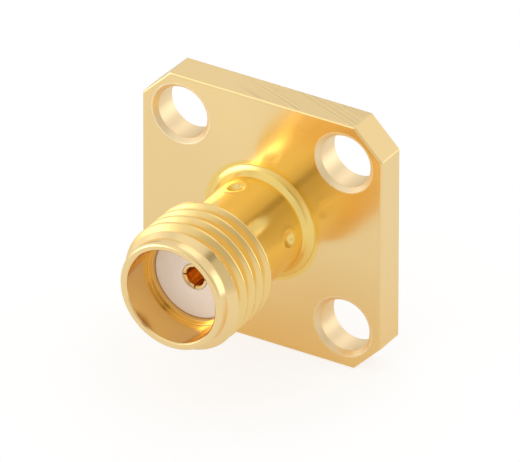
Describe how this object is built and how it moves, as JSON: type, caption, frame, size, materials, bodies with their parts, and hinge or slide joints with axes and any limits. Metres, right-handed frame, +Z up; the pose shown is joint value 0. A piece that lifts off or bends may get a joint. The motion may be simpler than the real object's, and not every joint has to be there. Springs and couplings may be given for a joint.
{
  "type": "sma connector",
  "caption": "Gold-plated coaxial panel socket with a square flange, corner fixing holes, a threaded barrel and a solder-cup centre contact.",
  "frame": {"origin": "centre of the flange's rear mounting face, on the connector's axis", "axes": "the connector's axis is Y: the mouth faces -Y and the solder cup points to +Y; the flange's sides lie along X and Z, +Z up"},
  "size_m": [0.0126, 0.0139, 0.0126],
  "materials": {
    "gold_plate": "gold-plated brass, satin on the flange and bright on the turned barrel",
    "dielectric": "matt, slightly waxy white",
    "contact_gold": "bright gold plate"
  },
  "bodies": {
    "root": {"housing": "gold_plate", "insulator": "dielectric", "contact": "contact_gold"}
  },
  "joints": []
}
